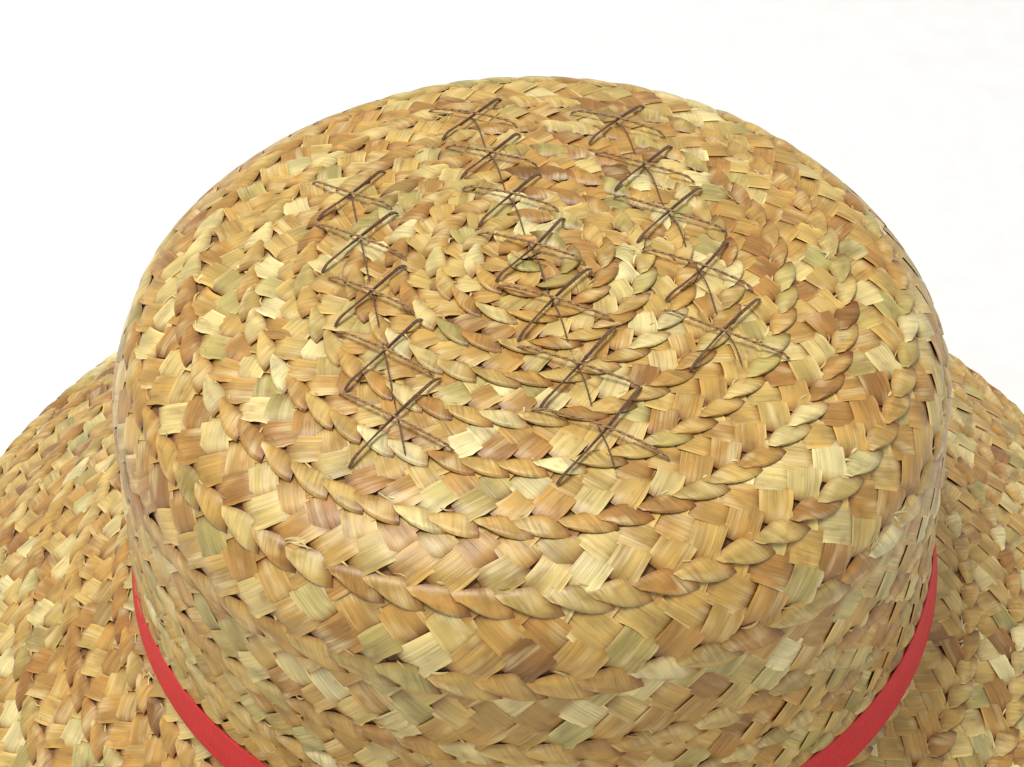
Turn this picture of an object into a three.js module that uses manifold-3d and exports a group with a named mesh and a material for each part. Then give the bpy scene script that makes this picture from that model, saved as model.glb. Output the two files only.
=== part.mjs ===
// A round-crowned straw sun hat, in millimetres, +Z up, standing on its brim.
//
// The hat is one long strip of flattened-straw plait sewn into a spiral from the middle of
// the tip to the edge of the brim. Each turn lies like a shingle: its outer edge covers the
// inner edge of the next turn. Inside are a sweatband and a lining disc, round the crown is
// a ribbon, and three columns of thread cross stitches hold the lining to the tip.

import * as THREE from 'three';
import { mergeVertices } from 'three/addons/utils/BufferGeometryUtils.js';
import Module from 'manifold-3d';

const wasm = await Module();
wasm.setup();

// ---- driving dimensions -------------------------------------------------------------

const CROWN_RADIUS = 95;          // outside of the crown where its side turns vertical
const CROWN_HEIGHT = 92.4;        // middle of the tip down to the corner with the brim
const TIP_EDGE_SLOPE = 11.3;      // degrees: how far the domed tip has tilted at its edge
const SHOULDER_RADIUS = 27.5;     // round from the tip into the side
const SIDE_FLARE = 3.1;           // degrees: the side widens a little towards the brim
const BREAK_RADIUS = 8;           // inside round between the side and the brim
const BRIM_SLOPE = 28.5;          // degrees below level
const BRIM_WIDTH = 76;            // along the slope, from the corner to the edge

const PLAIT_THICKNESS = 1.2;      // two flattened straws, one over the other
const LAYER_GAP = 0.35;           // between two turns that lie on each other
const OVERLAP = 4.5;              // how far a turn reaches under the turn inside it
const START_EDGE = 5;             // outer edge of the first turn where the plait starts
// How much of each turn shows, from the middle of the tip to the edge of the brim. The
// last turn runs out under the one before it, so that the brim ends in a circle.
const EXPOSURES = [8, 8, 8.5, 9, 10.5, 12, 14, 16, 19, 20, 14, 14.5, 14.5, 15, 15, 15, 15, 12, 0.2];
const LEAST_EXPOSURE = 4;         // the plait is cut off where this little would show
const TURN_STEPS = 32;            // facets in one turn
const FIRST_TURN = 0.125;         // where along the first turn the plait starts
const TIP_END_TURN = 6.5;         // the first length of plait ends here, behind the tip,
const SHOULDER_END_TURN = 9.5;    // the second below the shoulder, behind the crown,
const SIDE_END_TURN = 12.5;       // the third behind the ribbon,
const BRIM_JOIN_TURN = 14.5;      // the fourth on the brim, behind the crown,
const LAST_TURN = 18.71875;       // and the fifth at the edge of the brim
const BUTT_GAP = 0.0012;          // of a turn, between two lengths of plait
const CENTRE_HOLE = 0.6;          // the plait's inner edge can't close up completely
const REST_WIDTH = 1.5;           // flat worn under the brim's edge, where the hat stands

const RIBBON_HEIGHT = 11;
const RIBBON_THICKNESS = 0.6;
const RIBBON_CLEARANCE = 0.4;     // from the outermost straw edges
const RIBBON_DROP = 0.5;          // below the middle of the round between side and brim
const RIBBON_LAP = 14;            // degrees of overlap where its ends meet, at the back
const RIBBON_ACROSS = [0, 0.55, 0.8, 1];       // with points where its foot starts to spread
const RIBBON_STEPS = 66;

const SWEATBAND_HEIGHT = 28;
const SWEATBAND_THICKNESS = 0.8;
const LINING_RADIUS = 72;
const LINING_THICKNESS = 0.6;
const INNER_DEPTH = 3.9;          // from the outer surface to what lies inside the straw
const LINER_SIDES = 48;

const STITCH_THREAD = 1.1;        // diameter of the doubled thread in the cross stitches
const TIE_THREAD = 0.6;           // diameter of the single thread under them
const THREAD_LIFT = 0.3;          // threads clear the straw by this much
const ARM_SHORTENING = 0.94;      // keeps the ends of neighbouring arms apart

// Each column of cross stitches, measured over the tip from its middle: its name, the
// middle of its first cross, the step from one cross to the next, how many it has, and how
// its shallow and its steep arms run. The crosses grow a little towards the front.
const COLUMNS = [
  { name: 'left', first: [-41, 25], step: [3.6, -17.9], count: 5, shallow: [20.5, -13.5], steep: [14.2, 17.2] },
  { name: 'middle', first: [-14, 55.5], step: [4.7, -17.7], count: 7, shallow: [24, -10], steep: [15.2, 21.5] },
  { name: 'right', first: [21, 53], step: [5, -18.7], count: 5, shallow: [24.5, -10.5], steep: [15.4, 21.5] },
];
const ARM_GROWTH = 0.035;         // of an arm, from one cross to the next
const ARM_RISE = 0.8;             // of a thread's diameter, where one arm passes over another
const TIE_MARGIN = 0.35;          // of a step, that the tie reaches beyond the first cross

// ---- the outline of the hat -----------------------------------------------------------

const rad = THREE.MathUtils.degToRad;

// One stretch of the outline, as points along it. The slope is measured down from level.
function arcOutline(start, radius, slopeFrom, slopeTo) {
  const turn = slopeTo > slopeFrom ? 1 : -1;
  const arm = turn * radius;
  const centreR = start[0] - arm * Math.sin(slopeFrom);
  const centreZ = start[1] - arm * Math.cos(slopeFrom);
  return {
    length: radius * Math.abs(slopeTo - slopeFrom),
    at(distance) {
      const slope = slopeFrom + distance / arm;
      return { r: centreR + arm * Math.sin(slope), z: centreZ + arm * Math.cos(slope), slope };
    },
  };
}

function lineOutline(start, slope, length) {
  return {
    length,
    at: (distance) => ({
      r: start[0] + distance * Math.cos(slope),
      z: start[1] - distance * Math.sin(slope),
      slope,
    }),
  };
}

function buildOutline() {
  const tipSlope = rad(TIP_EDGE_SLOPE);
  const sideSlope = rad(90 - SIDE_FLARE);
  const brimSlope = rad(BRIM_SLOPE);
  const tipEdge = CROWN_RADIUS - SHOULDER_RADIUS * (1 - Math.sin(tipSlope));
  const tip = arcOutline([0, 0], tipEdge / Math.sin(tipSlope), 0, tipSlope);
  const end = (piece) => [piece.at(piece.length).r, piece.at(piece.length).z];
  const shoulder = arcOutline(end(tip), SHOULDER_RADIUS, tipSlope, sideSlope);
  const cutBack = BREAK_RADIUS * Math.tan((sideSlope - brimSlope) / 2);
  const sideLength = (CROWN_HEIGHT + end(shoulder)[1]) / Math.sin(sideSlope) - cutBack;
  const side = lineOutline(end(shoulder), sideSlope, sideLength);
  const round = arcOutline(end(side), BREAK_RADIUS, sideSlope, brimSlope);
  const brim = lineOutline(end(round), brimSlope, BRIM_WIDTH - cutBack);
  return {
    pieces: [tip, shoulder, side, round, brim],
    brimStart: tip.length + shoulder.length + sideLength,
    breakLength: round.length,
  };
}

const OUTLINE = buildOutline();

// The outline's radius, height and slope at a distance from the middle of the tip.
function outlineAt(distance) {
  let rest = Math.max(distance, 0);
  for (const piece of OUTLINE.pieces) {
    if (rest <= piece.length || piece === OUTLINE.pieces.at(-1)) return piece.at(rest);
    rest -= piece.length;
  }
  return null;
}

// A point at a distance along the outline, standing off it by some thickness.
function offsetPoint(distance, lift) {
  const { r, z, slope } = outlineAt(distance);
  return { r: r + lift * Math.sin(slope), z: z + lift * Math.cos(slope) };
}

// ---- the spiral of the plait ------------------------------------------------------------

// Where the plait's outer edge lies after some turns, as a distance from the tip's middle.
const EDGES = EXPOSURES.reduce((edges, exposure) => [...edges, edges.at(-1) + exposure], [START_EDGE]);

function edgeAt(turn) {
  const index = Math.min(Math.max(Math.floor(turn), 0), EDGES.length - 2);
  return EDGES[index] + (turn - index) * (EDGES[index + 1] - EDGES[index]);
}

function exposureAt(turn) {
  return turn < 1 ? EXPOSURES[0] : edgeAt(turn) - edgeAt(turn - 1);
}

// The turns run clockwise seen from above, and turn 0 starts at the front.
const angleAt = (turn) => rad(-90) - turn * 2 * Math.PI;

// How steeply the plait's face slopes inwards, to pass under the turn before it.
function tiltAt(turn) {
  return (PLAIT_THICKNESS + LAYER_GAP) / Math.max(exposureAt(turn), LEAST_EXPOSURE);
}

// The level that the hat stands on: the brim's edge is worn flat there.
function findBrimBottom() {
  const turn = Math.floor(LAST_TURN);
  const depth = PLAIT_THICKNESS + REST_WIDTH * tiltAt(turn);
  return offsetPoint(edgeAt(turn) - REST_WIDTH, -depth).z;
}

const BRIM_BOTTOM = findBrimBottom();

// A box bent by a function of how far across, up through and along it a point lies.
function bentBox(across, along, place) {
  const box = new THREE.BoxGeometry(1, 1, 1, across.length - 1, 1, along);
  box.deleteAttribute('normal');
  box.deleteAttribute('uv');
  const positions = box.attributes.position;
  for (let i = 0; i < positions.count; i += 1) {
    const column = Math.round((positions.getX(i) + 0.5) * (across.length - 1));
    const [x, y, z] = place(across[column], positions.getY(i) + 0.5, positions.getZ(i) + 0.5);
    positions.setXYZ(i, x, y, z);
  }
  return mergeVertices(box, 1e-4);
}

const onCircle = (radius, angle, z) => [radius * Math.cos(angle), radius * Math.sin(angle), z];

// One length of plait. Its face slopes inwards under the turn before it.
function plaitLength(fromTurn, toTurn, across) {
  const steps = Math.round((toTurn - fromTurn) * TURN_STEPS);
  return bentBox(across, steps, (u, v, w) => {
    const turn = THREE.MathUtils.lerp(fromTurn, toTurn, w);
    const edge = edgeAt(turn);
    const width = Math.max(exposureAt(turn), LEAST_EXPOSURE) + OVERLAP;
    const distance = Math.max(edge - width * (1 - u), CENTRE_HOLE);
    const lift = -tiltAt(turn) * (edge - distance) - PLAIT_THICKNESS * (1 - v);
    const { r, z } = offsetPoint(distance, lift);
    return onCircle(r, angleAt(turn), Math.max(z, BRIM_BOTTOM));
  });
}

// ---- materials ----------------------------------------------------------------------------

const straw = (color) => new THREE.MeshStandardMaterial({ color, roughness: 0.45, metalness: 0 });
const cloth = (color) => new THREE.MeshStandardMaterial({ color, roughness: 0.85, metalness: 0 });

const group = new THREE.Group();

function add(name, geometry, material) {
  const mesh = new THREE.Mesh(geometry, material);
  mesh.name = name;
  group.add(mesh);
  return mesh;
}

// ---- the plait ----------------------------------------------------------------------------

const FLAT_ACROSS = [0, 1];
const ROUND_ACROSS = [0, 1 / 3, 2 / 3, 1];
const BRIM_ACROSS = [0, 0.3, 0.6, 0.915, 1];   // with a point where the worn flat starts

const PLAITS = [
  { name: 'crown_tip_plait', to: TIP_END_TURN, across: FLAT_ACROSS, color: 0xd2ab62 },
  { name: 'crown_shoulder_plait', to: SHOULDER_END_TURN, across: ROUND_ACROSS, color: 0xcda65e },
  { name: 'crown_side_plait', to: SIDE_END_TURN, across: ROUND_ACROSS, color: 0xcfa860 },
  { name: 'brim_inner_plait', to: BRIM_JOIN_TURN, across: ROUND_ACROSS, color: 0xc69c58 },
  { name: 'brim_outer_plait', to: LAST_TURN, across: BRIM_ACROSS, color: 0xc89e5a },
];

let plaitStart = FIRST_TURN;
for (const { name, to, across, color } of PLAITS) {
  add(name, plaitLength(plaitStart, to, across), straw(color));
  plaitStart = to + BUTT_GAP;
}

// ---- ribbon, sweatband and lining -----------------------------------------------------------

// The ribbon's lower edge spreads with the round at the foot of the crown. At the back its
// end climbs over its start.
function ribbon() {
  const turnAngle = rad(360 + RIBBON_LAP);
  const low = OUTLINE.brimStart + OUTLINE.breakLength / 2 + RIBBON_DROP;
  return bentBox(RIBBON_ACROSS, RIBBON_STEPS, (u, v, w) => {
    const climb = THREE.MathUtils.smoothstep(w, 1 - 2 * RIBBON_LAP / 360, 1 - RIBBON_LAP / 360);
    const lift = RIBBON_CLEARANCE + v * RIBBON_THICKNESS + climb * (RIBBON_THICKNESS + LAYER_GAP);
    const { r, z } = offsetPoint(low - RIBBON_HEIGHT * (1 - u), lift);
    return onCircle(r, rad(90) - w * turnAngle, z);
  });
}

// A ring or disc that lines the inside, turned from its closed section.
function liner(fromDistance, toDistance, thickness, steps) {
  const outer = [];
  const inner = [];
  for (let i = 0; i <= steps; i += 1) {
    const distance = THREE.MathUtils.lerp(fromDistance, toDistance, i / steps);
    const top = offsetPoint(distance, -INNER_DEPTH);
    const bottom = offsetPoint(distance, -INNER_DEPTH - thickness);
    outer.push(new THREE.Vector2(Math.max(top.r, 0), top.z));
    inner.push(new THREE.Vector2(Math.max(bottom.r, 0), bottom.z));
  }
  const section = [...inner, ...outer.reverse()];
  if (fromDistance > 0) section.push(inner[0]);
  const ring = new THREE.LatheGeometry(section, LINER_SIDES);
  ring.rotateX(rad(90));
  return ring;
}

const sweatbandLow = OUTLINE.brimStart;
const sweatbandTop = sweatbandLow - SWEATBAND_HEIGHT;

add('hatband_ribbon', ribbon(), cloth(0xc8323c));
add('sweatband', liner(sweatbandTop, sweatbandLow, SWEATBAND_THICKNESS, 2), cloth(0xe6dcc4));
add('tip_lining', liner(0, LINING_RADIUS, LINING_THICKNESS, 6), cloth(0xe9e2d0));

// ---- threads --------------------------------------------------------------------------------

// A point above the tip, given from above as distances along its surface.
function onTip(x, y, lift) {
  const distance = Math.hypot(x, y);
  const { r, z } = offsetPoint(distance, lift);
  const scale = distance > 0 ? r / distance : 1;
  return new THREE.Vector3(x * scale, y * scale, z);
}

function thread(points, diameter, steps) {
  const section = new THREE.Shape().absarc(0, 0, diameter / 2, 0, 2 * Math.PI);
  const path = new THREE.CatmullRomCurve3(points);
  const options = { steps, curveSegments: 3, bevelEnabled: false, extrudePath: path };
  return new THREE.ExtrudeGeometry(section, options);
}

function toSolid(geometry) {
  geometry.deleteAttribute('normal');
  geometry.deleteAttribute('uv');
  const merged = mergeVertices(geometry, 1e-4);
  return new wasm.Manifold(new wasm.Mesh({
    numProp: 3,
    vertProperties: new Float32Array(merged.attributes.position.array),
    triVerts: new Uint32Array(merged.index.array),
  }));
}

function toGeometry(solid) {
  const mesh = solid.getMesh();
  const geometry = new THREE.BufferGeometry();
  geometry.setAttribute('position', new THREE.BufferAttribute(mesh.vertProperties, 3));
  geometry.setIndex(new THREE.BufferAttribute(mesh.triVerts, 1));
  return geometry;
}

// A straight run of thread over the tip. It rises in its middle where it lies over another.
function arm(middle, run, rise) {
  const points = [-0.5, -0.25, 0, 0.25, 0.5].map((part) => {
    const height = THREAD_LIFT + TIE_THREAD + STITCH_THREAD / 2 + rise * (1 - Math.abs(2 * part));
    return onTip(middle[0] + part * run[0], middle[1] + part * run[1], height);
  });
  return thread(points, STITCH_THREAD, 4);
}

const stitchThread = new THREE.MeshStandardMaterial({ color: 0x7c5a3a, roughness: 0.8, metalness: 0 });

// One column of crosses. Their shallow arms lie over the steep ones.
function stitchColumn({ name, first, step, count, shallow, steep }) {
  const middle = (index) => [first[0] + index * step[0], first[1] + index * step[1]];
  for (let i = 0; i < count; i += 1) {
    const size = ARM_SHORTENING * (1 + ARM_GROWTH * (i - (count - 1) / 2));
    const run = (vector) => vector.map((value) => value * size);
    const under = toSolid(arm(middle(i), run(steep), 0));
    const over = toSolid(arm(middle(i), run(shallow), STITCH_THREAD * ARM_RISE));
    add(`cross_stitch_${name}_${i + 1}`, toGeometry(under.add(over)), stitchThread);
  }
  const tie = [];
  for (let i = -TIE_MARGIN; i < count - 0.5; i += 0.5) {
    tie.push(onTip(...middle(i), THREAD_LIFT / 2 + TIE_THREAD / 2));
  }
  add(`tie_thread_${name}`, thread(tie, TIE_THREAD, 3 * count), stitchThread);
}

COLUMNS.forEach(stitchColumn);

// The hat stands on the edge of its brim.
group.position.z = -BRIM_BOTTOM;

export default group;
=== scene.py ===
"""A sewn straw hat with a red ribbon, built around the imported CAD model.

The hat is one long plait of flattened wheat straw, wound in a spiral from the middle of the
tip to the edge of the brim, each turn sewn over the next. Every straw that shows is its own
curved patch, laid out along the plait. Cross stitches hold the tip, and a sweatband and a
gauze lining sit inside.
"""
import math

import bpy
import numpy as np
from mathutils import Matrix, Vector


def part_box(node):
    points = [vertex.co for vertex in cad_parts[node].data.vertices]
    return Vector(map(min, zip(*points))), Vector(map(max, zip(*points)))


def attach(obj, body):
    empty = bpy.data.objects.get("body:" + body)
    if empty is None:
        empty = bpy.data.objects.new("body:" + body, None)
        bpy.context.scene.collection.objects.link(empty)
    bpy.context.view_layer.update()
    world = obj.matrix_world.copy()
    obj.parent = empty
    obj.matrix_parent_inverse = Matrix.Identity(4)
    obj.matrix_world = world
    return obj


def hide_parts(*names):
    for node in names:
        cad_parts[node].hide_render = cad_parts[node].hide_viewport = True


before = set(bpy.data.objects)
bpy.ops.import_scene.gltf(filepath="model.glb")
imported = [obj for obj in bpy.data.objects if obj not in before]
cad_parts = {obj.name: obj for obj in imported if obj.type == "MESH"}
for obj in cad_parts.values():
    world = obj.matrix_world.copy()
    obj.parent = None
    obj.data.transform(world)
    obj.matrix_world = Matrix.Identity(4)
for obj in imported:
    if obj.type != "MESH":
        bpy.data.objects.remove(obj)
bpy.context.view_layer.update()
TIP_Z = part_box("crown_tip_plait")[1][2]

MM = 0.001
RNG = np.random.default_rng(7)

# ---- dimensions, in millimetres and degrees, as in the CAD model -------------------------

CROWN_RADIUS = 95
CROWN_HEIGHT = 92.4
TIP_EDGE_SLOPE = math.radians(11.3)
SHOULDER_RADIUS = 27.5
SIDE_SLOPE = math.radians(90 - 3.1)
BREAK_RADIUS = 8
BRIM_SLOPE = math.radians(28.5)
BRIM_WIDTH = 76

PLAIT_THICKNESS = 1.2
LAYER_GAP = 0.35
OVERLAP = 4.5
START_EDGE = 5
EXPOSURES = [8, 8, 8.5, 9, 10.5, 12, 14, 16, 19, 20, 14, 14.5, 14.5, 15, 15, 15, 15, 12, 0.2]
LEAST_EXPOSURE = 4
CENTRE_HOLE = 0.6

# The lengths of plait: their CAD nodes, material slots and where each ends, in turns.
FIRST_TURN = 0.125
PLAITS = [
    ("crown_tip_plait", "straw_tip", 6.5),
    ("crown_shoulder_plait", "straw_shoulder", 9.5),
    ("crown_side_plait", "straw_side", 12.5),
    ("brim_inner_plait", "straw_brim", 14.5),
    ("brim_outer_plait", "straw_brim", 18.71875),
]


def plait_lengths():
    """Each length of plait: its node, its slot, and the turns at which it starts and ends."""
    start = FIRST_TURN
    for node_name, slot, end in PLAITS:
        yield node_name, slot, start, end
        start = end


# ---- camera ---------------------------------------------------------------------------------

CAMERA_PLACE = (0.0, -0.3131, 0.3948)
CAMERA_DOWN = math.radians(44.23)
CAMERA_YAW = math.radians(0.79)
CAMERA_ROLL = math.radians(-0.57)

camera = bpy.data.objects.new("camera", bpy.data.cameras.new("camera"))
bpy.context.scene.collection.objects.link(camera)
bpy.context.scene.camera = camera
camera.data.sensor_width = 36
camera.data.lens = 66.8
turned = Matrix.Rotation(CAMERA_YAW, 4, "Z") @ Matrix.Rotation(math.pi / 2 - CAMERA_DOWN, 4, "X")
turned = turned @ Matrix.Rotation(CAMERA_ROLL, 4, "Z")
camera.matrix_world = Matrix.Translation(CAMERA_PLACE) @ turned
camera.data.clip_start = 0.01

# ---- the hat's outline and spiral -------------------------------------------------------------


def outline_table():
    """Distance, radius, height and slope along the outline, from the middle of the tip."""
    tip_edge = CROWN_RADIUS - SHOULDER_RADIUS * (1 - math.sin(TIP_EDGE_SLOPE))
    tip_radius = tip_edge / math.sin(TIP_EDGE_SLOPE)
    cut_back = BREAK_RADIUS * math.tan((SIDE_SLOPE - BRIM_SLOPE) / 2)
    side_top = (
        tip_radius * (1 - math.cos(TIP_EDGE_SLOPE))
        + SHOULDER_RADIUS * (math.cos(TIP_EDGE_SLOPE) - math.cos(SIDE_SLOPE))
    )
    lengths = [
        tip_radius * TIP_EDGE_SLOPE,
        SHOULDER_RADIUS * (SIDE_SLOPE - TIP_EDGE_SLOPE),
        (CROWN_HEIGHT - side_top) / math.sin(SIDE_SLOPE) - cut_back,
        BREAK_RADIUS * (SIDE_SLOPE - BRIM_SLOPE),
        BRIM_WIDTH - cut_back,
    ]
    ends = np.cumsum([0, *lengths])
    slopes = [0, TIP_EDGE_SLOPE, SIDE_SLOPE, SIDE_SLOPE, BRIM_SLOPE, BRIM_SLOPE]
    distance = np.linspace(0, ends[-1], 5201)
    slope = np.interp(distance, ends, slopes)
    step = distance[1]
    middle = (slope[1:] + slope[:-1]) / 2
    radius = np.concatenate([[0], np.cumsum(np.cos(middle)) * step])
    height = np.concatenate([[0], -np.cumsum(np.sin(middle)) * step])
    return distance, radius, height, slope, ends


DISTANCE, RADIUS, HEIGHT, SLOPE, ENDS = outline_table()
BRIM_START = ENDS[3]
BREAK_LENGTH = ENDS[4] - ENDS[3]


def radius_at(distance):
    return np.interp(distance, DISTANCE, RADIUS)


def place(distance, angle, lift):
    """Points at a distance along the outline and an angle round the hat, in metres."""
    slope = np.interp(distance, DISTANCE, SLOPE)
    radius = radius_at(distance) + lift * np.sin(slope)
    height = np.interp(distance, DISTANCE, HEIGHT) + lift * np.cos(slope)
    x, y = radius * np.cos(angle), radius * np.sin(angle)
    return np.stack([x * MM, y * MM, height * MM + TIP_Z], -1)


EDGES = np.cumsum([START_EDGE, *EXPOSURES])


def edge_at(turn):
    return np.interp(turn, np.arange(len(EDGES)), EDGES)


def exposure_at(turn):
    return np.where(turn < 1, EXPOSURES[0], edge_at(turn) - edge_at(turn - 1))


def angle_at(turn):
    return -math.pi / 2 - 2 * math.pi * turn


def tilt_at(turn):
    return (PLAIT_THICKNESS + LAYER_GAP) / np.maximum(exposure_at(turn), LEAST_EXPOSURE)


def width_at(turn):
    return np.maximum(exposure_at(turn), LEAST_EXPOSURE) + OVERLAP


PULL = 0.45      # the share of the step between two turns that the sewing takes up
WORN = 0.0006    # metres: how gradually the straws flatten where the brim meets the floor


def on_plait(turn, up, lift):
    """Points up from the plait's outer edge, standing off its outer face. The sewing pulls the
    edge in, so the step between two turns is less than the CAD model's. None is below the
    floor: the lowest ones flatten out on it."""
    distance = np.maximum(edge_at(turn) - up, CENTRE_HOLE)
    pulled = PULL * tilt_at(turn) * np.maximum(exposure_at(turn) - up, 0)
    points = place(distance, angle_at(turn), lift - tilt_at(turn) * up - pulled)
    points[..., 2] = WORN * np.log1p(np.exp(points[..., 2] / WORN))
    return points


# ---- meshes ---------------------------------------------------------------------------------


def add_mesh(name, points, faces, material, values=None, smooth=True):
    """A mesh object from its points and faces, with named values on the points."""
    mesh = bpy.data.meshes.new(name)
    if isinstance(faces, np.ndarray):
        faces = faces.tolist()
    mesh.from_pydata(points.reshape(-1, 3).tolist(), [], faces)
    for key, value in (values or {}).items():
        vector = value.ndim == 2
        layer = mesh.attributes.new(key, "FLOAT_VECTOR" if vector else "FLOAT", "POINT")
        layer.data.foreach_set("vector" if vector else "value", value.astype(np.float32).ravel())
    if smooth:
        mesh.shade_smooth()
    mesh.materials.append(material)
    made = bpy.data.objects.new(name, mesh)
    bpy.context.scene.collection.objects.link(made)
    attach(made, "root")
    return made


def patch_quads(count, rows, columns, flip=False):
    """The quads of some patches, each a grid of rows by columns of points."""
    index = np.arange(count * rows * columns).reshape(count, rows, columns)
    corners = [index[:, :-1, :-1], index[:, 1:, :-1], index[:, 1:, 1:], index[:, :-1, 1:]]
    if flip:
        corners.reverse()
    return np.stack(corners, -1).reshape(-1, 4)


def tube_points(path, radius, sides):
    """Rings of points round a path."""
    along = np.gradient(path, axis=0)
    along /= np.linalg.norm(along, axis=1)[:, None]
    side = np.cross(along, [0.0, 0.0, 1.0])
    side /= np.maximum(np.linalg.norm(side, axis=1)[:, None], 1e-6)
    up = np.cross(side, along)
    turn = np.arange(sides) * 2 * math.pi / sides
    radius = np.broadcast_to(radius, len(path))[:, None, None]
    ring = side[:, None] * np.cos(turn)[None, :, None] + up[:, None] * np.sin(turn)[None, :, None]
    return path[:, None] + ring * radius


def tube_quads(rings, sides):
    """The quads between the rings of a tube."""
    a = np.arange((rings - 1) * sides)
    b = a // sides * sides + (a + 1) % sides
    return np.stack([a, b, b + sides, a + sides], -1)


# ---- materials --------------------------------------------------------------------------------


def linear(red, green, blue):
    """A colour from its screen values."""
    def channel(value):
        value /= 255
        return value / 12.92 if value <= 0.04045 else ((value + 0.055) / 1.055) ** 2.4

    return (channel(red), channel(green), channel(blue), 1)


def new_material(name, **inputs):
    material = bpy.data.materials.new(name)
    material.use_nodes = True
    shader = material.node_tree.nodes["Principled BSDF"]
    for key, value in inputs.items():
        shader.inputs[key.replace("_", " ")].default_value = value
    return material, shader


def node(shader, kind, inputs=None, **settings):
    """A node in the shader's tree, with its inputs set or linked."""
    tree = shader.id_data
    made = tree.nodes.new("ShaderNode" + kind)
    for key, value in settings.items():
        setattr(made, key, value)
    for key, value in (inputs or {}).items():
        if isinstance(value, bpy.types.NodeSocket):
            tree.links.new(value, made.inputs[key])
        else:
            made.inputs[key].default_value = value
    return made


def link(shader, key, socket):
    shader.id_data.links.new(socket, shader.inputs[key])


def attribute(shader, name, output="Fac"):
    return node(shader, "Attribute", attribute_name=name).outputs[output]


def ramp(shader, socket, *stops):
    """A colour ramp with its stops given as (place, colour)."""
    made = node(shader, "ValToRGB", {"Fac": socket})
    elements = made.color_ramp.elements
    while len(elements) < len(stops):
        elements.new(0.5)
    for element, (at, color) in zip(elements, stops):
        element.position = at
        element.color = color
    return made.outputs["Color"]


def mix(shader, blend, factor, a, b):
    made = node(shader, "Mix", data_type="RGBA", blend_type=blend, clamp_factor=True)
    for index, value in ((0, factor), (6, a), (7, b)):
        if isinstance(value, bpy.types.NodeSocket):
            shader.id_data.links.new(value, made.inputs[index])
        else:
            made.inputs[index].default_value = value
    return made.outputs[2]


def grey(value):
    return (value, value, value, 1)


def stretched(shader, scale):
    """A piece's own coordinates, in millimetres along and across it, scaled."""
    fibre = attribute(shader, "fibre", "Vector")
    return node(shader, "VectorMath", {0: fibre, 1: scale}, operation="MULTIPLY").outputs[0]


def noise(shader, vector, scale, detail=2, roughness=0.5):
    inputs = {"Vector": vector, "Scale": scale, "Detail": detail, "Roughness": roughness}
    return node(shader, "TexNoise", inputs).outputs["Fac"]


STRAW_COLORS = [
    (0.00, linear(138, 95, 44)),
    (0.12, linear(164, 116, 56)),
    (0.30, linear(184, 139, 68)),
    (0.52, linear(194, 156, 81)),
    (0.72, linear(202, 171, 96)),
    (0.86, linear(211, 188, 119)),
    (1.00, linear(226, 210, 150)),
]
OLIVE = linear(172, 163, 96)
STAIN = linear(140, 84, 40)
# GLINT is the colour of painted glints, highlights painted on the straw.
GLINT = linear(232, 210, 152)
# The colour of painted shade where a straw is tucked under its neighbours.
PAINTED_TUCK_SHADE = linear(176, 132, 84)

# A straw's painted shading runs from 0 at its cut edges, where it is painted pale as a highlight,
# through this on its face, to 1 where it is tucked under its neighbours, painted darker as shade.
PLAIN = 0.3


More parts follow.
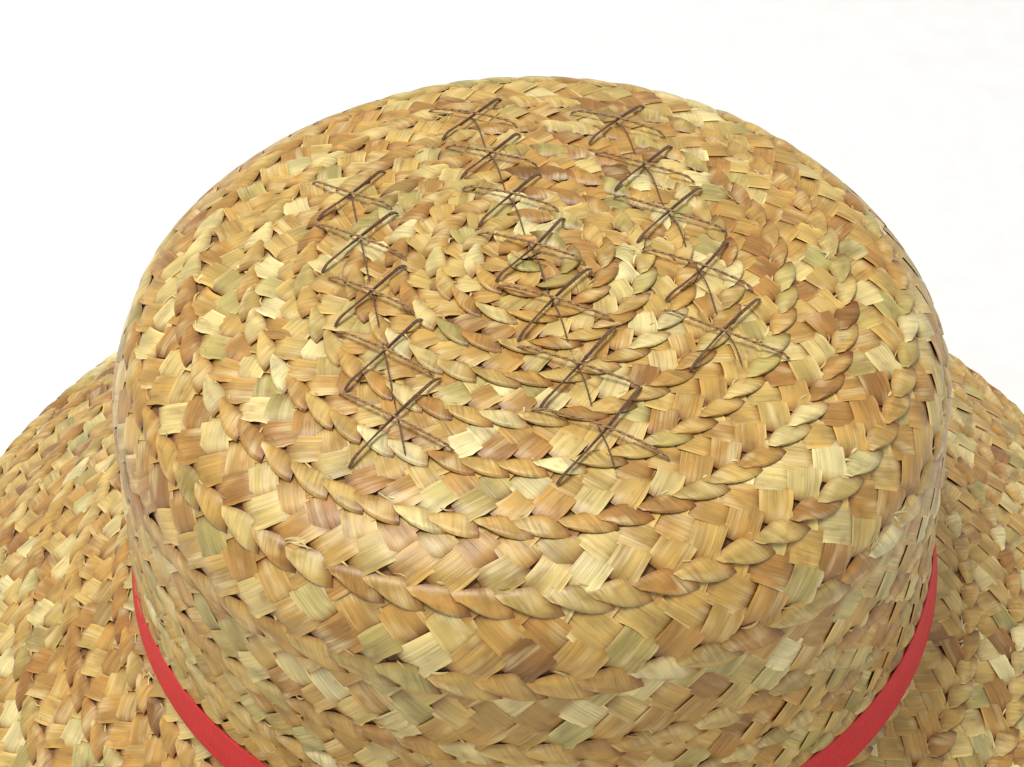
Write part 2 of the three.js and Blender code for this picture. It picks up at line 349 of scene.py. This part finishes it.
def straw_material(name, dull):
    """Flattened straw: a colour for each straw, stains, fibre lines, broad streaks, a painted sheen
    and painted glints that change along it, painted highlights on the cut edges, painted shade on
    the tucked ends, and a satin gloss."""
    material, shader = new_material(name, IOR=1.5)
    lines = noise(shader, stretched(shader, (0.09, 2.4, 9.0)), 1.0, 3, 0.65)
    streaks = noise(shader, stretched(shader, (0.05, 0.9, 5.0)), 1.0, 1, 0.5)
    blotch = noise(shader, stretched(shader, (0.22, 0.30, 3.0)), 1.0, 2, 0.5)
    color = ramp(shader, attribute(shader, "tone"), *STRAW_COLORS)
    green = attribute(shader, "green")
    color = mix(shader, "MIX", green, color, OLIVE)
    stain = ramp(shader, blotch, (0.56, grey(0)), (0.78, grey(0.5)))
    color = mix(shader, "MIX", stain, color, STAIN)
    fine = ramp(shader, lines, (0.33, grey(0.62)), (0.50, grey(0.98)), (0.68, grey(1.20)))
    # The fibre lines are the straw's own grain; the patches where they show strongly are painted
    # glints.
    patches = noise(shader, stretched(shader, (0.16, 0.30, 6.0)), 1.0, 1)
    mottle_and_glint_patches = ramp(shader, patches, (0.38, grey(0.15)), (0.62, grey(0.85)))
    color = mix(shader, "MULTIPLY", mottle_and_glint_patches, color, fine)
    broad = ramp(shader, streaks, (0.30, grey(0.90)), (0.65, grey(1.05)))
    color = mix(shader, "MULTIPLY", 1.0, color, broad)
    # Painted sheen: lighter and darker patches along each straw.
    patches = noise(shader, stretched(shader, (0.13, 0.22, 8.0)), 1.0, 0)
    sheen = ramp(shader, patches, (0.34, grey(0.84)), (0.66, grey(1.16)))
    color = mix(shader, "MULTIPLY", 1.0, color, sheen)
    # Painted glints: pale satin highlights in patches, following the fibre lines.
    patches = noise(shader, stretched(shader, (0.11, 0.30, 11.0)), 1.0, 1)
    spot = ramp(shader, patches, (0.52, grey(0)), (0.74, grey(0.8)))
    lit = ramp(shader, lines, (0.38, grey(0.3)), (0.60, grey(0.9)))
    lit = mix(shader, "MULTIPLY", 1.0, spot, lit)
    color = mix(shader, "MIX", lit, color, GLINT)
    # Painted highlight on the cut edges (brighter than 1) and painted shade on the tucked ends.
    shades = [(0.0, grey(1.22)), (0.2, grey(1)), (PLAIN, grey(1)), (1.0, PAINTED_TUCK_SHADE)]
    painted_edge_light_and_shade = ramp(shader, attribute(shader, "painted_edge_light_and_shade"), *shades)
    color = mix(shader, "MULTIPLY", 1.0, color, painted_edge_light_and_shade)
    link(shader, "Base Color", color)
    rough = node(shader, "MapRange", {"Value": lines, "To Min": 0.25 + dull, "To Max": 0.55 + dull})
    link(shader, "Roughness", rough.outputs["Result"])
    bump = node(shader, "Bump", {"Height": lines, "Strength": 0.55, "Distance": 0.00012})
    wide = node(shader, "Bump", {"Height": streaks, "Strength": 0.6, "Distance": 0.0003})
    shader.id_data.links.new(wide.outputs["Normal"], bump.inputs["Normal"])
    link(shader, "Normal", bump.outputs["Normal"])
    return material


def backing_material():
    """The inner straws that show in the gaps of the plait, coloured dark as painted shadow."""
    material, shader = new_material("straw_core_painted_shadow", Roughness=0.7)
    where = node(shader, "TexCoord").outputs["Object"]
    patches = noise(shader, where, 260, 3, 0.6)
    # Dark browns, darker than any straw tone: painted shadow in the gaps.
    color = ramp(shader, patches, (0.35, linear(96, 62, 30)), (0.7, linear(150, 108, 60)))
    link(shader, "Base Color", color)
    bump = node(shader, "Bump", {"Height": patches, "Strength": 0.6, "Distance": 0.0004})
    link(shader, "Normal", bump.outputs["Normal"])
    return material


# ---- the straws of the plait ----------------------------------------------------------------------

# The distance along the plait from one straw to the next, against where it is in the hat.
PITCH_PLACES = [0, 55, 72, 84, 100, 120, 137, 165, 185, 250]
PITCHES = [6.6, 7.0, 7.8, 8.5, 9.8, 8.7, 7.5, 7.0, 7.8, 8.2]

# Heights in the plait over its outer edge, in pitches: the top of the folds that make its
# edge, and the groove that the sewing runs in.
LEAF_TOP = 0.74
GROOVE = 0.70
GROOVE_WIDTH = 0.08
GROOVE_DEPTH = 0.50    # millimetres

# Each band: its middle, which way its straws lean, and how far it is moved along, in pitches.
BANDS = [(1.05, 1, 0.0), (1.69, -1, 0.33), (2.33, 1, 0.66)]

# Shares of the straws that are greenish, and the tones that straws come in.
OLIVE_SHARE = 0.16
TONES = [0.10, 0.26, 0.46, 0.66, 0.90]
TONE_SHARES = [0.05, 0.24, 0.36, 0.21, 0.14]


def walk(first, last):
    """Turns at which the straws follow each other along a length of plait, and their pitch."""
    turns = np.linspace(first, last, int((last - first) * 400) + 2)
    middle = edge_at(turns) - exposure_at(turns) * 0.5
    round_the_hat = 2 * math.pi * radius_at(np.maximum(middle, 3.0))
    pitch = np.interp(middle, PITCH_PLACES, PITCHES)
    count = np.concatenate([[0], np.cumsum((round_the_hat / pitch)[1:] * np.diff(turns))])
    at = np.interp(np.arange(0.5, count[-1]), count, turns)
    return at, np.interp(at, turns, pitch), np.interp(at, turns, round_the_hat)


def straw_tones(turns):
    """A tone from dark to pale for each straw, with slow changes along the plait."""
    slow = 0.05 * np.sin(turns * 5.1 + 1.0) + 0.04 * np.sin(turns * 13.7)
    tone = RNG.choice(TONES, len(turns), p=TONE_SHARES)
    return np.clip(tone + RNG.normal(0, 0.06, len(turns)) + slow, 0, 1)


def groove(up, pitch):
    """How far the sewing pulls the straws down."""
    return -GROOVE_DEPTH * np.exp(-((up / pitch - GROOVE) / GROOVE_WIDTH) ** 2)


def band_shape(count, pitch, middle, lean, rows, columns):
    """The straws of a slanting band: their places along and up the plait, lifts, own
    coordinates and painted shading: a painted highlight along their edges and painted shade at
    their ends. They lean right (1) or left (-1), and both their ends dip under the next straws."""
    def vary(amount):
        return RNG.normal(0, amount, (count, 1, 1))

    u = np.linspace(-1, 1, rows)[None, :, None]
    v = np.linspace(-1, 1, columns)[None, None, :]
    along = u * pitch * (0.60 + vary(0.02))
    across = v * pitch * (0.430 + vary(0.022)) * (1 + vary(0.06) * u)
    across = across + vary(0.045) * pitch * (1 - u ** 2)
    slant = math.radians(45) + vary(0.075)
    x = lean * (along * np.cos(slant) + across * np.sin(slant)) + vary(0.035) * pitch
    y = along * np.sin(slant) - across * np.cos(slant) + (middle + vary(0.03)) * pitch
    ends = np.clip((np.abs(u) - 0.54) / 0.38, 0, 1)
    ends = ends ** 2 * (3 - 2 * ends)
    lift = 0.20 - 0.40 * ends + 0.05 * (1 - v ** 2) + (0.02 + vary(0.06)) * v
    lift = lift + groove(y, pitch)
    # Painted highlight along the long edges; painted shade where the ends dip under.
    edge = np.clip((np.abs(v) - 0.8) / 0.2, 0, 1) * (1 - ends)
    return x, y, lift, along, across, PLAIN + (1 - PLAIN) * ends ** 2 - PLAIN * edge


def leaf_shape(count, pitch, rows, columns):
    """The folds along the plait's outer edge, in the same terms as band_shape. Each comes down
    from the groove, lies over one neighbour, folds in at the edge and runs out under the other."""
    def vary(amount):
        return RNG.normal(0, amount, (count, 1, 1))

    u = np.concatenate([np.linspace(0, 0.86, rows - 3), [0.95, 1.0, 1.04]])[None, :, None]
    v = np.linspace(0, 1, columns)[None, None, :]
    high = (LEAF_TOP + vary(0.02)) * pitch
    lean = 0.40 + vary(0.08)
    corner = (1 - v) ** 2.5 * u ** 3
    x = (v * 1.16 - 0.10 + vary(0.05) + lean * LEAF_TOP * (u - 0.30 * corner)) * pitch
    y = high * (1 - u + (0.42 + vary(0.05)) * corner - 0.28 * (1 - v) ** 3 * (1 - u) ** 2)
    y = y + 0.05 * (1 - 2 * v) ** 2 * u * pitch
    fold = np.clip((u - 0.86) / 0.18, 0, 1)
    under = np.clip((v - 0.55) / 0.4, 0, 1)
    lift = 0.26 + 0.04 * (1 - (2 * v - 1) ** 2) - (0.40 + vary(0.06)) * under ** 2 * (3 - 2 * under)
    lift = lift - 0.50 * fold ** 2 + groove(y, pitch) - 0.2 * np.clip(0.15 - u, 0, 1) / 0.15
    along, across = u * 1.2 * pitch, v * 0.75 * pitch
    # Painted shade near the groove and where the fold runs under its neighbour, and a painted
    # highlight along its edge.
    painted_edge_light_and_shade = 0.6 * np.clip(1 - u / 0.3, 0, 1) ** 2 + np.clip((v - 0.70) / 0.25, 0, 1) ** 2
    edge = np.clip(1 - v / 0.12, 0, 1)
    return x, y, lift, along, across, PLAIN + (1 - PLAIN) * np.clip(painted_edge_light_and_shade, 0, 1) - PLAIN * edge


def lay_straws(name, first, last, material, inner=False):
    """The straws on one face of a length of plait, as one piece."""
    turns, pitch, circle = walk(first, last)
    pitch, circle = pitch[:, None, None], circle[:, None, None]
    rows, columns = (6, 4) if inner else (9, 6)
    count = len(turns)
    shapes = [(leaf_shape(count, pitch, rows, columns + 2), 0.0, 0.0, 1)]
    for middle, lean, shift in BANDS:
        shapes.append((band_shape(count, pitch, middle, lean, rows, columns), shift, middle, lean))
    points, quads, fibre, tone, green, painted_edge_lights_and_shades, done = [], [], [], [], [], [], 0
    for shape, shift, middle, lean in shapes:
        keep = (middle - 0.4) * pitch[:, 0, 0] < width_at(turns)
        x, y, lift, along, across, painted_edge_light_and_shade = (a[keep] for a in np.broadcast_arrays(*shape))
        at = turns[keep][:, None, None] - (x + shift * pitch[keep]) / circle[keep]
        up = y
        if inner:
            up = width_at(at) - y
            lift = -PLAIT_THICKNESS - lift * 0.6
        points.append(on_plait(at, np.minimum(up, width_at(at)), lift).reshape(-1, 3))
        quads.append(patch_quads(*x.shape, flip=inner != (lean < 0)) + done)
        seed = RNG.random((len(x), 1, 1)) * 40 + 0 * x
        fibre.append(np.stack([along, across, seed], -1).reshape(-1, 3))
        tone.append((straw_tones(turns[keep])[:, None, None] + 0 * x).ravel())
        olive = (RNG.random(len(x)) < OLIVE_SHARE) * RNG.uniform(0.3, 0.8, len(x))
        green.append((olive[:, None, None] + 0 * x).ravel())
        painted_edge_lights_and_shades.append(painted_edge_light_and_shade.ravel())
        done += x.size
    values = {
        "fibre": np.concatenate(fibre),
        "tone": np.concatenate(tone),
        "green": np.concatenate(green),
        "painted_edge_light_and_shade": np.concatenate(painted_edge_lights_and_shades),
    }
    return add_mesh(name, np.concatenate(points), np.concatenate(quads), material, values)


CORE_COLUMNS = 11


def core_strip(name, first, last, material):
    """The inside of the plait, a thin closed strip between the straws of its two faces."""
    steps = int((last - first) * 90) + 1
    turns = np.linspace(first, last, steps)[:, None, None]
    sides = 2 * CORE_COLUMNS
    side = np.linspace(0.03, 0.97, CORE_COLUMNS)
    across = np.concatenate([side, side[::-1]])[None, :, None]
    lift = np.repeat([-0.75, -0.9], CORE_COLUMNS)[None, :, None] * PLAIT_THICKNESS
    points = on_plait(turns, across * width_at(turns), lift)
    quads = tube_quads(steps, sides)
    ends = np.array([[i, i + 1, sides - 2 - i, sides - 1 - i] for i in range(CORE_COLUMNS - 1)])
    quads = np.concatenate([quads, ends, ends[:, ::-1] + (steps - 1) * sides])
    return add_mesh(name, points, quads, material, smooth=False)


straw = straw_material("straw", 0.0)
dull_straw = straw_material("straw_dull", 0.10)
core = backing_material()

for node_name, slot, start, end in plait_lengths():
    outer = lay_straws(node_name.replace("plait", "straws"), start, end, straw)
    inner_name = node_name.replace("plait", "inner_straws")
    inner = lay_straws(inner_name, start, end, dull_straw, inner=True)
    # A dark sheet inside the plait, painted as the shadow seen through its gaps.
    inside = core_strip(node_name.replace("plait", "core"), start, end, core)
    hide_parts(node_name)

# ---- torn straw in the sewing groove ------------------------------------------------------------

JOIN_SHARE = 0.02      # of the straws end in a frayed join
JOIN_SHREDS = 6        # in each join


def add_shreds(name, turns, circle, shape, fibre, tone, material):
    """A piece of narrow shreds of straw. The shape is their places along and up the plait and
    their lifts, fibre is their own coordinates, and tone its mean and spread."""
    x, y, lift = shape
    points = on_plait(turns - x / circle, y, lift)
    seed = RNG.random((len(x), 1, 1)) * 40
    fibre = np.stack(np.broadcast_arrays(*fibre, seed + 0 * x), -1).reshape(-1, 3)
    tone = np.clip(RNG.normal(*tone, (len(x), 1, 1)), 0, 1) + 0 * x
    values = {
        "fibre": fibre,
        "tone": tone.ravel(),
        "green": np.zeros(x.size),
        "painted_edge_light_and_shade": np.full(x.size, PLAIN),
    }
    return add_mesh(name, points, patch_quads(*x.shape), material, values)


def groove_slivers(name, first, last, material):
    """The folded corners of straw that stick up along the sewing groove."""
    turns, pitch, circle = (a[:, None, None] for a in walk(first, last))
    count = len(turns)
    u = np.linspace(0, 1, 6)[None, :, None]
    v = np.array([-1.0, 0.0, 1.0])[None, None, :]
    length = RNG.uniform(0.25, 0.60, (count, 1, 1)) * pitch
    width = RNG.uniform(0.015, 0.040, (count, 1, 1)) * pitch * np.sin(math.pi * (0.1 + 0.85 * u))
    heading = RNG.normal(-0.25, 0.30, (count, 1, 1)) + RNG.normal(0, 0.5, (count, 1, 1)) * u
    at_x = RNG.uniform(-0.5, 0.5, (count, 1, 1)) * pitch
    at_y = (GROOVE + RNG.normal(0, 0.05, (count, 1, 1))) * pitch
    x = at_x + u * length * np.cos(heading) - v * width * np.sin(heading)
    y = at_y + (u - 0.5) * length * np.sin(heading) + v * width * np.cos(heading)
    rise = RNG.uniform(0.20, 0.42, (count, 1, 1))
    lift = -0.36 + rise * np.sin(math.pi * u) + 0.05 * (1 - v ** 2)
    fibre = (u * length, v * width)
    return add_shreds(name, turns, circle, (x, y, lift), fibre, (0.62, 0.25), material)


def frayed_joins(name, first, last, material):
    """Whitish torn ends that stand up here and there, where a new straw was worked in."""
    straws = walk(first, last)
    joins = RNG.random(len(straws[0])) < JOIN_SHARE
    turns, pitch, circle = (np.repeat(a[joins], JOIN_SHREDS)[:, None, None] for a in straws)
    count = len(turns)
    u = np.linspace(0, 1, 7)[None, :, None]
    v = np.array([-1.0, 0.0, 1.0])[None, None, :]
    length = RNG.uniform(0.20, 0.60, (count, 1, 1)) * pitch
    width = RNG.uniform(0.012, 0.035, (count, 1, 1)) * pitch * np.sin(math.pi * (0.15 + 0.8 * u))
    heading = np.repeat(RNG.uniform(-0.8, 0.8, (count // JOIN_SHREDS, 1, 1)), JOIN_SHREDS, 0)
    heading = heading + RNG.normal(0, 0.25, (count, 1, 1)) + RNG.normal(0, 0.5, (count, 1, 1)) * u
    at_x = RNG.normal(0, 0.10, (count, 1, 1)) * pitch
    at_y = (GROOVE + RNG.normal(0, 0.07, (count, 1, 1))) * pitch
    x = at_x + u * length * np.cos(heading) - v * width * np.sin(heading)
    y = at_y + u * length * np.sin(heading) + v * width * np.cos(heading)
    rise = RNG.uniform(0.10, 0.40, (count, 1, 1))
    lift = 0.05 + rise * np.sin(math.pi * (0.1 + 0.75 * u)) + 0.04 * (1 - v ** 2)
    fibre = (u * length, v * width)
    return add_shreds(name, turns, circle, (x, y, lift), fibre, (0.93, 0.08), material)


for node_name, slot, start, end in plait_lengths():
    for torn, make in (("slivers", groove_slivers), ("frays", frayed_joins)):
        make(node_name.replace("plait", torn), start, end, straw)

# ---- ribbon, sweatband and lining ----------------------------------------------------------------

RIBBON_HEIGHT = 11
RIBBON_THICKNESS = 0.45
RIBBON_LOW = BRIM_START + BREAK_LENGTH / 2 - 3.0    # its lower edge, along the outline
RIBBON_CLEARANCE = 0.35
RIBBON_LEAN = 1.3                                   # its upper edge lies this much further in
RIBBON_SHIFT = 0.7                                  # to the right, at its lower edge
RIBBON_LAP = 14                                     # degrees
RIBBON_LENGTH = 2 * math.pi * CROWN_RADIUS * (360 + RIBBON_LAP) / 360

INNER_DEPTH = 3.9                                   # from the outline in, clear of all the straw
SWEATBAND_HEIGHT = 28
SWEATBAND_THICKNESS = 0.7
SWEATBAND_GAP = 0.8
LINING_RADIUS = 72
LINING_THICKNESS = 0.4
LINING_GAP = 0.5
LINING_HOLE = 0.3


def strip(name, along, section, surface, material, closed=False):
    """A thin strip swept round the hat. The section is points across it and through it, and
    surface gives the place of a point along it."""
    across, through = (np.array(part)[None, :] for part in zip(*section))
    points = surface(along[:, None], across, through)
    sides, steps = len(section), len(along)
    quads = tube_quads(steps, sides)
    faces = quads.tolist()
    if closed:
        last = (steps - 1) * sides
        faces += [[last + i, last + (i + 1) % sides, (i + 1) % sides, i] for i in range(sides)]
    else:
        faces += [list(range(sides))[::-1], [(steps - 1) * sides + i for i in range(sides)]]
    spread = np.broadcast_arrays(along[:, None], across, through)
    values = {"fibre": np.stack(spread, -1).reshape(-1, 3)}
    return add_mesh(name, points, faces, material, values)


def flat_section(width, thickness, steps):
    """A flat strip's section, with rounded edges: points across and through it."""
    across = np.linspace(0.02, 0.98, steps)
    top = [(width * a, thickness) for a in across]
    bottom = [(width * a, 0.0) for a in across[::-1]]
    return [*top, (width, thickness / 2), *bottom, (0.0, thickness / 2)]


def cloth_material(name, color, dark, thread, roughness, ribs=False):
    """Woven cloth: crossing threads, or only ribs across a ribbon."""
    material, shader = new_material(name, Roughness=roughness)
    fibre = attribute(shader, "fibre", "Vector")
    waves = math.pi / 10 / thread    # a wave texture repeats every 2 pi / 20
    turned = node(shader, "VectorMath", {0: fibre, 1: (waves, waves, 0)}, operation="MULTIPLY")
    inputs = {"Vector": turned.outputs[0], "Scale": 1.0, "Distortion": 0.3, "Detail": 1.0}
    warp = node(shader, "TexWave", inputs, bands_direction="X", wave_profile="SIN").outputs["Fac"]
    weft = node(shader, "TexWave", inputs, bands_direction="Y", wave_profile="SIN").outputs["Fac"]
    weave = node(shader, "Math", {0: warp, 1: weft}, operation="MULTIPLY").outputs[0]
    height = warp if ribs else weave
    mottle_and_glint_patches = noise(shader, stretched(shader, (0.12, 0.25, 1.0)), 1.0, 3, 0.6)
    base = ramp(shader, mottle_and_glint_patches, (0.3, dark), (0.7, color))
    shade = ramp(shader, height, (0.0, grey(0.72)), (0.6, grey(1.0)))
    link(shader, "Base Color", mix(shader, "MULTIPLY", 1.0, base, shade))
    bump = node(shader, "Bump", {"Height": height, "Strength": 0.7, "Distance": 0.0002})
    link(shader, "Normal", bump.outputs["Normal"])
    return material


def ribbon_surface(along, up, through):
    """The ribbon lies round the foot of the crown, a little to the right, and laps behind. It
    leans in, so a few straws of the turn above come through it near its upper edge."""
    lap = RIBBON_LAP / 360
    over = np.clip((along / RIBBON_LENGTH - 1 + 2 * lap) / lap, 0, 1)
    angle = math.pi / 2 - along / CROWN_RADIUS
    wave = 0.10 * np.sin(3 * angle + 1) + 0.08 * np.sin(7 * angle)
    high = np.clip(up / RIBBON_HEIGHT, 0, 1)
    lift = RIBBON_CLEARANCE + through + over * 0.8 + (wave - RIBBON_LEAN) * high
    points = place(RIBBON_LOW - up, angle, lift)
    points[..., 0] += RIBBON_SHIFT * MM * (1 - 0.6 * high)
    return points


red = cloth_material("red_ribbon", linear(240, 50, 56), linear(228, 40, 48), 0.55, 0.60, ribs=True)
ribbon_steps = np.linspace(0, RIBBON_LENGTH, 400)
ribbon_section = flat_section(RIBBON_HEIGHT, RIBBON_THICKNESS, 14)
ribbon = strip("ribbon", ribbon_steps, ribbon_section, ribbon_surface, red)
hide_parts("hatband_ribbon")


def sweatband_surface(along, up, through):
    """The sweatband lies inside the foot of the crown, slightly rippled."""
    angle = along / (CROWN_RADIUS - INNER_DEPTH)
    ripple = 0.12 * np.sin(9 * angle) * np.sin(math.pi * up / SWEATBAND_HEIGHT)
    return place(BRIM_START - up, angle, through - INNER_DEPTH - SWEATBAND_GAP + ripple)


cotton = cloth_material("cotton", linear(228, 218, 194), linear(212, 198, 168), 0.6, 0.85)
band_steps = np.linspace(0, 2 * math.pi * (CROWN_RADIUS - INNER_DEPTH), 241)[:-1]
band_section = flat_section(SWEATBAND_HEIGHT, SWEATBAND_THICKNESS, 8)
sweatband = strip("sweat_band", band_steps, band_section, sweatband_surface, cotton, closed=True)
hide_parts("sweatband")


def lining_disc():
    """A round of gauze under the tip, a little slack between its stitches."""
    gauze = cloth_material("gauze", linear(233, 227, 208), linear(222, 212, 186), 0.9, 0.9)
    rings, spokes = 25, 96
    part = np.linspace(0, 1, rings)[:, None]
    angle = np.linspace(0, 2 * math.pi, spokes, endpoint=False)[None, :]
    slack = 0.35 * (np.sin(5 * angle + 4 * part) + np.sin(3 * angle - 7 * part)) * part
    distance = LINING_HOLE + (LINING_RADIUS - LINING_HOLE) * part + 0 * angle
    layers = []
    for down in (0.0, LINING_THICKNESS):
        lift = slack - INNER_DEPTH - LINING_GAP - down
        layers.append(place(distance, angle, lift).reshape(-1, 3))
    count = rings * spokes
    top = []
    for ring in range(rings - 1):
        for i in range(spokes):
            a, b = ring * spokes + i, ring * spokes + (i + 1) % spokes
            top.append([a, a + spokes, b + spokes, b])
    faces = top + [[count + i for i in face[::-1]] for face in top]
    edge = (rings - 1) * spokes
    for i in range(spokes):
        a, b = edge + i, edge + (i + 1) % spokes
        faces.append([a, count + a, count + b, b])
    faces += [list(range(spokes)), [count + i for i in range(spokes)][::-1]]
    flat = distance[..., None] * np.stack([np.cos(angle), np.sin(angle)], -1)
    flat = np.concatenate([flat.reshape(-1, 2)] * 2)
    values = {"fibre": np.concatenate([flat, np.zeros((len(flat), 1))], 1)}
    return add_mesh("tip_gauze", np.concatenate(layers), faces, gauze, values)


lining = lining_disc()
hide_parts("tip_lining")

# ---- cross stitches -------------------------------------------------------------------------------

# Each column of crosses, over the tip from its middle: the middle of its first cross, the
# step to the next, how many it has, and how its shallow and steep arms run.
COLUMNS = {
    "left": ((-41, 25), (3.6, -17.9), 5, (21, -14), (15.6, 18.9)),
    "middle": ((-14, 55.5), (4.7, -17.7), 7, (24, -10), (15.2, 21.5)),
    "right": ((21, 53), (5.0, -18.7), 5, (24.5, -10.5), (15.4, 21.5)),
}
ARM_GROWTH = 0.035     # each cross is this much larger than the one behind it
ARM_DIP = 3.0          # a thread goes down into the straw over this much of each end
ARM_DEPTH = 1.3

# The threads: radius, distance from the middle of the pair, turns per millimetre, material.
STEEP_THREAD = (0.23, 0.17, 0.02, 0)
SHALLOW_THREAD = (0.19, 0.16, 0.25, 1)
TIE_THREAD = (0.12, 0.08, 0.5, 0)
THREAD_SIDES = 6
THREAD_STEP = 0.28


def thread_material(name, pale, dark):
    """Spun cotton, with a light and dark twist along it."""
    material, shader = new_material(name, Roughness=0.75, Sheen_Weight=0.2)
    twist = noise(shader, stretched(shader, (2.2, 1.2, 3.0)), 1.0, 2, 0.6)
    fuzz = noise(shader, stretched(shader, (9.0, 9.0, 3.0)), 1.0, 2, 0.6)
    link(shader, "Base Color", ramp(shader, twist, (0.35, dark), (0.65, pale)))
    bump = node(shader, "Bump", {"Height": fuzz, "Strength": 0.6, "Distance": 0.0001})
    link(shader, "Normal", bump.outputs["Normal"])
    return material


def tip_point(x, y, lift):
    return place(np.hypot(x, y), np.arctan2(y, x), lift)


def strands(route, radius, offset, twist):
    """Two threads that run side by side along a route, wound round each other. Gives the rings
    of points of each, and how far along it they are."""
    length = np.concatenate([[0], np.cumsum(np.linalg.norm(np.diff(route, axis=0), axis=1))]) / MM
    count = max(int(length[-1] / THREAD_STEP), 8)
    at = np.linspace(0, length[-1], count)
    route = np.stack([np.interp(at, length, route[:, i]) for i in range(3)], -1)
    along = np.gradient(route, axis=0)
    along /= np.linalg.norm(along, axis=1)[:, None]
    side = np.cross(along, [0.0, 0.0, 1.0])
    side /= np.linalg.norm(side, axis=1)[:, None]
    up = np.cross(side, along)
    made = []
    for sign in (1, -1):
        phase = 2 * math.pi * twist * at[:, None]
        shift = side * np.cos(phase) + up * np.sin(phase)
        taper = np.minimum(1, 0.35 + np.minimum(at, at[-1] - at) / 1.2)
        path = route + sign * offset * MM * shift
        made.append((tube_points(path, radius * MM * taper, THREAD_SIDES), at))
    return made


def stitch(name, routes, cad_node):
    """One piece made of threads. Each route is (points, radius, offset, twist, material)."""
    points, quads, fibre, slots, done = [], [], [], [], 0
    for route, radius, offset, twist, index in routes:
        for rings, at in strands(route, radius, offset, twist):
            points.append(rings.reshape(-1, 3))
            quads.append(tube_quads(len(rings), THREAD_SIDES) + done)
            around = np.arange(THREAD_SIDES) / THREAD_SIDES * 2
            seed = RNG.random() * 20
            spread = np.broadcast_arrays(at[:, None], around[None, :], seed)
            fibre.append(np.stack(spread, -1).reshape(-1, 3))
            slots.append(np.full(len(quads[-1]), index))
            done += len(rings) * THREAD_SIDES
    values = {"fibre": np.concatenate(fibre)}
    made = add_mesh(name, np.concatenate(points), np.concatenate(quads), THREADS[0], values)
    made.data.materials.append(THREADS[1])
    made.data.polygons.foreach_set("material_index", np.concatenate(slots))
    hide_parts(cad_node)


THREADS = [
    thread_material("thread_dark", linear(122, 88, 58), linear(76, 50, 32)),
    thread_material("thread_pale", linear(182, 146, 100), linear(122, 88, 56)),
]


def arm_route(start, end, height, rise):
    """A thread over the tip, from one point to another, that dips in at both its ends. It lies
    at a height over the tip, and rises from that towards its middle."""
    part = np.linspace(0, 1, 41)
    length = math.dist(start, end)
    bow = RNG.normal(0, 0.5) * np.sin(math.pi * part)
    x = start[0] + (end[0] - start[0]) * part - bow * (end[1] - start[1]) / length
    y = start[1] + (end[1] - start[1]) * part + bow * (end[0] - start[0]) / length
    near = np.minimum(part, 1 - part) * length
    dip = np.clip(1 - near / ARM_DIP, 0, 1) ** 2
    lift = height + rise * (1 - np.abs(2 * part - 1)) ** 0.8 - ARM_DEPTH * dip
    return tip_point(x, y, lift)


def cross_routes(middle, half, shallow, steep):
    """A cross: its steep arm lies on the straw, and its shallow arm goes over that."""
    steep, shallow = half * np.array(steep), half * np.array(shallow)
    under = arm_route(middle - steep, middle + steep, 0.45, 0.0)
    over = arm_route(middle - shallow, middle + shallow, 0.40, 0.65)
    return [(under, *STEEP_THREAD), (over, *SHALLOW_THREAD)]


def tie_route(first, step, count):
    """The thread along a column. It goes down into the straw before each cross, and comes up
    under it."""
    part = np.linspace(-0.35, count - 0.5, 12 * count)
    lift = 0.95 * np.sin(2 * math.pi * part - 0.2) - 0.40
    return tip_point(first[0] + part * step[0], first[1] + part * step[1], lift)


for column, (first, step, count, shallow, steep) in COLUMNS.items():
    for i in range(count):
        growth = 1 + ARM_GROWTH * (i - (count - 1) / 2)
        middle = np.array(first) + i * np.array(step) + RNG.normal(0, 0.35, 2)
        half = growth / 2 * (1 + RNG.normal(0, 0.04))
        routes = cross_routes(middle, half, shallow, steep)
        stitch(f"cross_{column}_{i + 1}", routes, f"cross_stitch_{column}_{i + 1}")
    stitch(f"tie_{column}", [(tie_route(first, step, count), *TIE_THREAD)], f"tie_thread_{column}")

# ---- floor, light and background ----------------------------------------------------------------

FLOOR_REACH = 6.0
KEY_PLACE = (-0.36, 0.02, 1.42)
KEY_TARGET = (0, 0, 0.08)
KEY_SIZE = 0.60
KEY_POWER = 17.0
KEY_COLOR = (1.0, 0.98, 0.94)
SKY_STRENGTH = 0.50


def floor():
    material, shader = new_material("paper", Roughness=0.9)
    spot = node(shader, "TexCoord").outputs["Object"]
    grain = noise(shader, spot, 90, 3)
    link(shader, "Base Color", ramp(shader, grain, (0.3, grey(0.86)), (0.7, grey(0.9))))
    mesh = bpy.data.meshes.new("floor")
    reach = FLOOR_REACH
    corners = [(-reach, -reach, 0), (reach, -reach, 0), (reach, reach, 0), (-reach, reach, 0)]
    mesh.from_pydata(corners, [], [(0, 1, 2, 3)])
    mesh.materials.append(material)
    made = bpy.data.objects.new("floor", mesh)
    bpy.context.scene.collection.objects.link(made)


def key_light():
    light = bpy.data.lights.new("key", "AREA")
    light.shape = "DISK"
    light.size = KEY_SIZE
    light.energy = KEY_POWER
    light.color = KEY_COLOR
    made = bpy.data.objects.new("key", light)
    bpy.context.scene.collection.objects.link(made)
    made.location = KEY_PLACE
    away = made.location - Vector(KEY_TARGET)
    made.rotation_euler = away.to_track_quat("Z", "Y").to_euler()


def sky():
    world = bpy.data.worlds.new("studio")
    bpy.context.scene.world = world
    world.use_nodes = True
    background = world.node_tree.nodes["Background"]
    background.inputs["Color"].default_value = (1, 1, 1, 1)
    background.inputs["Strength"].default_value = SKY_STRENGTH


floor()
key_light()
sky()
bpy.context.scene.view_settings.view_transform = "Standard"
